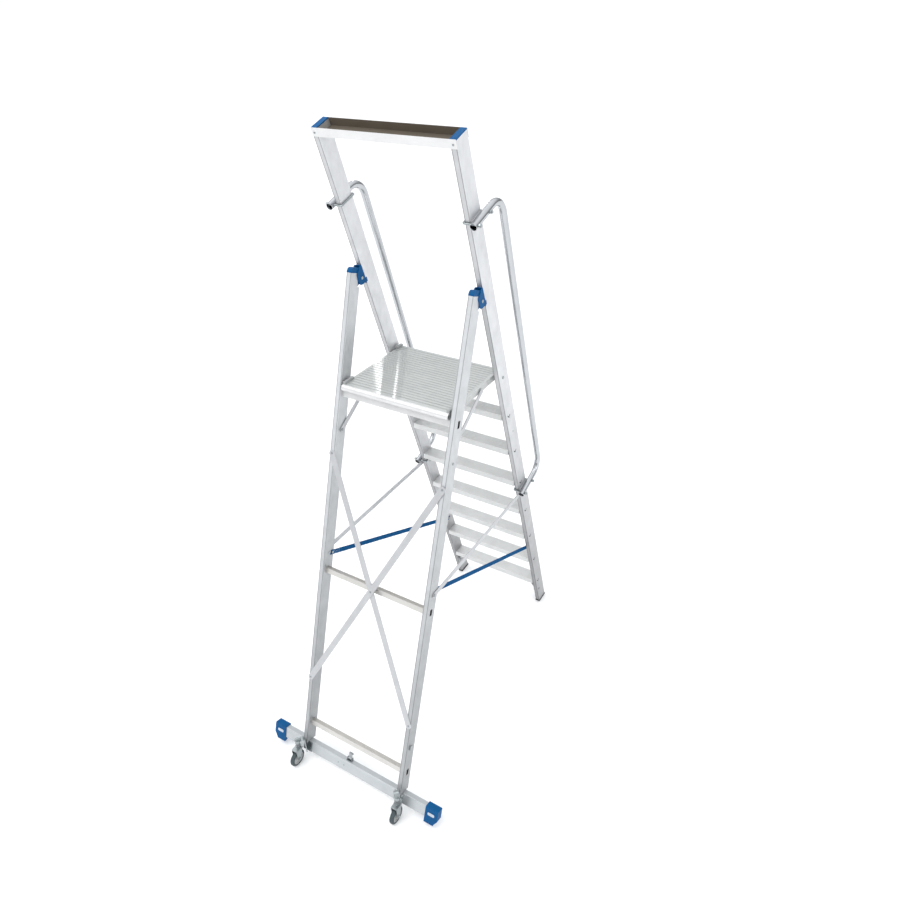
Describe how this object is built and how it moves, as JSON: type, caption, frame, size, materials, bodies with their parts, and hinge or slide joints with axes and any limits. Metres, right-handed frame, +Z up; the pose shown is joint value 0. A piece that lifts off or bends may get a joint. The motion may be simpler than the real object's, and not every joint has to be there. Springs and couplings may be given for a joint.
{
  "type": "rolling platform stepladder",
  "caption": "Folding aluminium platform stepladder with a tool tray, handrails, and a wide rear traverse on sprung casters.",
  "frame": {"origin": "on the floor, at the centre of the footprint of the ladder standing open", "axes": "+X is the width, towards the user's right when climbing and facing +Y, and the side whose nodes are named left, as seen from the caster side; +Y is the caster side and -Y the climbing side; +Z is up"},
  "size_m": [0.994, 1.7774, 2.9301],
  "materials": {
    "aluminium_stile": "satin, extruded, fine lengthwise grain",
    "aluminium_tread": "satin, ribbed",
    "aluminium_platform": "satin, ribbed",
    "aluminium_trim": "smooth satin",
    "handrail_tube": "smooth satin tube",
    "zinc_steel": "zinc plated",
    "spring_steel": "oiled",
    "blue_plastic": "moulded, fine texture",
    "dark_plastic": "moulded",
    "foot_rubber": "matt",
    "strap_webbing": "woven polyester webbing",
    "wheel_plastic": "moulded",
    "wheel_tyre": "smooth grey rubber"
  },
  "bodies": {
    "front_section": {"front_stile_left": "aluminium_stile", "front_stile_right": "aluminium_stile", "front_feet": "foot_rubber", "tread_1": "aluminium_tread", "tread_2": "aluminium_tread", "tread_3": "aluminium_tread", "tread_4": "aluminium_tread", "tread_5": "aluminium_tread", "tread_6": "aluminium_tread", "tread_7": "aluminium_tread", "tread_swages": "aluminium_tread", "tread_braces": "aluminium_trim", "tread_brace_bolts": "zinc_steel", "stile_caps": "blue_plastic", "tool_tray": "aluminium_trim", "front_rivets": "zinc_steel", "handrail_left": "handrail_tube", "handrail_right": "handrail_tube", "rail_clamp_pads": "aluminium_trim", "rail_u_bolts": "zinc_steel", "rail_cap_nuts": "zinc_steel", "hinge_brackets": "blue_plastic", "hinge_pins": "zinc_steel", "front_pivot_bolts": "zinc_steel", "safety_strap_left": "strap_webbing", "safety_strap_right": "strap_webbing"},
    "platform": {"platform_deck": "aluminium_platform", "platform_nosing": "aluminium_trim", "platform_side_rails": "aluminium_platform", "platform_corners": "dark_plastic"},
    "rear_section": {"rear_stile_left": "aluminium_stile", "rear_stile_right": "aluminium_stile", "hinge_caps": "blue_plastic", "rung_top": "aluminium_tread", "rung_middle": "aluminium_tread", "rung_bottom": "aluminium_tread", "x_brace_bar_front": "aluminium_trim", "x_brace_bar_rear": "aluminium_trim", "rear_rivets": "zinc_steel", "traverse": "aluminium_stile", "traverse_feet": "blue_plastic", "caster_brackets": "zinc_steel", "latch_bracket": "zinc_steel", "stay_pivot_pins": "zinc_steel", "stay_clips": "zinc_steel"},
    "platform_stay_l": {"platform_stay_left": "aluminium_trim"},
    "platform_stay_r": {"platform_stay_right": "aluminium_trim"},
    "side_stay_l": {"side_stay_left": "aluminium_trim"},
    "side_stay_r": {"side_stay_right": "aluminium_trim"},
    "latch": {"fold_latch": "spring_steel"},
    "caster_stem_l": {"caster_stem_left": "zinc_steel", "caster_spring_left": "spring_steel"},
    "caster_fork_l": {"caster_fork_left": "zinc_steel"},
    "caster_wheel_l": {"caster_hub_left": "wheel_plastic", "caster_tyre_left": "wheel_tyre"},
    "caster_stem_r": {"caster_stem_right": "zinc_steel", "caster_spring_right": "spring_steel"},
    "caster_fork_r": {"caster_fork_right": "zinc_steel"},
    "caster_wheel_r": {"caster_hub_right": "wheel_plastic", "caster_tyre_right": "wheel_tyre"}
  },
  "joints": [
    {"name": "fold", "type": "hinge", "parent": "front_section", "child": "rear_section", "pos_m": [0, 0.00308, 2.30257], "axis": [-1, 0, 0], "range_deg": [0, 36.8], "deforming": ["safety_strap_left", "safety_strap_right"]},
    {"name": "platform_tilt", "type": "hinge", "parent": "front_section", "child": "platform", "pos_m": [0, -0.19549, 1.8853], "axis": [1, 0, 0], "range_deg": [0, 71.21]},
    {"name": "platform_stay_l_swing", "type": "hinge", "parent": "rear_section", "child": "platform_stay_l", "pos_m": [0.269, 0.24319, 1.68978], "axis": [-1, 0, 0], "range_deg": [0, 25.86]},
    {"name": "platform_stay_r_swing", "type": "hinge", "parent": "rear_section", "child": "platform_stay_r", "pos_m": [-0.269, 0.24319, 1.68978], "axis": [-1, 0, 0], "range_deg": [0, 25.86]},
    {"name": "side_stay_l_swing", "type": "hinge", "parent": "rear_section", "child": "side_stay_l", "pos_m": [0.3005, 0.42953, 1.11629], "axis": [1, 0, 0], "range_deg": [0, 107.56]},
    {"name": "side_stay_r_swing", "type": "hinge", "parent": "rear_section", "child": "side_stay_r", "pos_m": [-0.3005, 0.42953, 1.11629], "axis": [1, 0, 0], "range_deg": [0, 107.56]},
    {"name": "latch_swing", "type": "hinge", "parent": "rear_section", "child": "latch", "pos_m": [0.03, 0.74955, 0.11519], "axis": [1, 0, 0], "range_deg": [-25, 35]},
    {"name": "caster_spring_l_slide", "type": "slide", "parent": "rear_section", "child": "caster_stem_l", "axis": [0, 0, 1], "range_m": [0, 0.03], "stiffness_N_per_m": 4000, "springref_m": -0.04, "deforming": ["caster_spring_left"]},
    {"name": "caster_swivel_l_turn", "type": "hinge", "parent": "caster_stem_l", "child": "caster_fork_l", "pos_m": [0.303, 0.82345, 0.107], "axis": [0, 0, 1], "range_deg": [-95, 65]},
    {"name": "caster_wheel_l_spin", "type": "hinge", "parent": "caster_fork_l", "child": "caster_wheel_l", "pos_m": [0.303, 0.84545, 0.044], "axis": [1, 0, 0], "continuous": true},
    {"name": "caster_spring_r_slide", "type": "slide", "parent": "rear_section", "child": "caster_stem_r", "axis": [0, 0, 1], "range_m": [0, 0.03], "stiffness_N_per_m": 4000, "springref_m": -0.04, "deforming": ["caster_spring_right"]},
    {"name": "caster_swivel_r_turn", "type": "hinge", "parent": "caster_stem_r", "child": "caster_fork_r", "pos_m": [-0.303, 0.82345, 0.107], "axis": [0, 0, 1], "range_deg": [-65, 95]},
    {"name": "caster_wheel_r_spin", "type": "hinge", "parent": "caster_fork_r", "child": "caster_wheel_r", "pos_m": [-0.303, 0.84545, 0.044], "axis": [1, 0, 0], "continuous": true}
  ],
  "couplings": [
    {"joint": "platform_tilt", "follows": "fold", "ratio": 1.9348},
    {"joint": "platform_stay_l_swing", "follows": "fold", "ratio": 0.7022},
    {"joint": "platform_stay_r_swing", "follows": "fold", "ratio": 0.7022},
    {"joint": "side_stay_l_swing", "follows": "fold", "ratio": 2.9222},
    {"joint": "side_stay_r_swing", "follows": "fold", "ratio": 2.9222}
  ]
}
